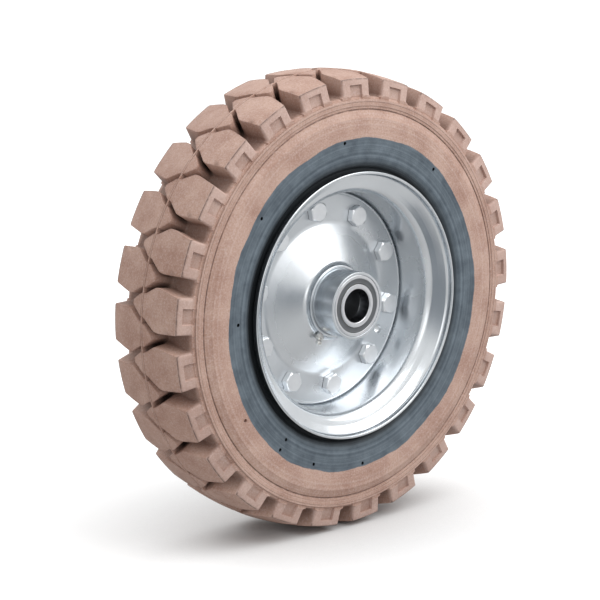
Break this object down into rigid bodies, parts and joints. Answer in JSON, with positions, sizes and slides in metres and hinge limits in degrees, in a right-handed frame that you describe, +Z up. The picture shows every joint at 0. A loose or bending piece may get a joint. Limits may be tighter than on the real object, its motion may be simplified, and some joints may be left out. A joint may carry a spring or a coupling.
{
  "type": "solid rubber wheel",
  "caption": "Wheel with a solid rubber block-tread tyre on a split pressed-steel rim, bolted hub discs and sealed ball bearings in a through hub tube.",
  "frame": {"origin": "centre of the wheel, on the axle axis at the mid-plane between the rim halves", "axes": "+Y along the axle towards the nut side, -Y towards the bolt-head side, +Z up"},
  "size_m": [0.408, 0.1032, 0.408],
  "materials": {
    "tread_rubber": "matt moulded rubber",
    "base_rubber": "matt moulded rubber",
    "plated_sheet": "bright plated",
    "plated_tube": "bright plated",
    "fasteners": "bright plated",
    "nipple_steel": "plated",
    "dark_steel": "plain steel",
    "bearing_steel": "ground",
    "cage_brass": "machined",
    "seal_rubber": "matt moulded rubber"
  },
  "bodies": {
    "axle_set": {"front_inner_ring": "bearing_steel", "rear_inner_ring": "bearing_steel", "spacer_tube": "dark_steel"},
    "wheel": {"tyre_tread": "tread_rubber", "tyre_base": "base_rubber", "front_rim_half": "plated_sheet", "rear_rim_half": "plated_sheet", "front_hub_disc": "plated_sheet", "rear_hub_disc": "plated_sheet", "hub_tube": "plated_tube", "rim_bolts": "fasteners", "rim_nuts": "fasteners", "grease_nipple": "nipple_steel", "front_outer_ring": "bearing_steel", "rear_outer_ring": "bearing_steel", "front_outer_seal": "seal_rubber", "rear_outer_seal": "seal_rubber", "front_inner_seal": "seal_rubber", "rear_inner_seal": "seal_rubber"},
    "front_ball_set": {"front_balls": "bearing_steel", "front_cage": "cage_brass"},
    "rear_ball_set": {"rear_balls": "bearing_steel", "rear_cage": "cage_brass"}
  },
  "joints": [
    {"name": "wheel_spin", "type": "hinge", "parent": "axle_set", "child": "wheel", "pos_m": [0, 0, 0], "axis": [0, 1, 0], "continuous": true},
    {"name": "front_ball_spin", "type": "hinge", "parent": "axle_set", "child": "front_ball_set", "pos_m": [0, 0, 0], "axis": [0, 1, 0], "continuous": true},
    {"name": "rear_ball_spin", "type": "hinge", "parent": "axle_set", "child": "rear_ball_set", "pos_m": [0, 0, 0], "axis": [0, 1, 0], "continuous": true}
  ],
  "couplings": [
    {"joint": "front_ball_spin", "follows": "wheel_spin", "ratio": 0.58405},
    {"joint": "rear_ball_spin", "follows": "wheel_spin", "ratio": 0.58405}
  ]
}
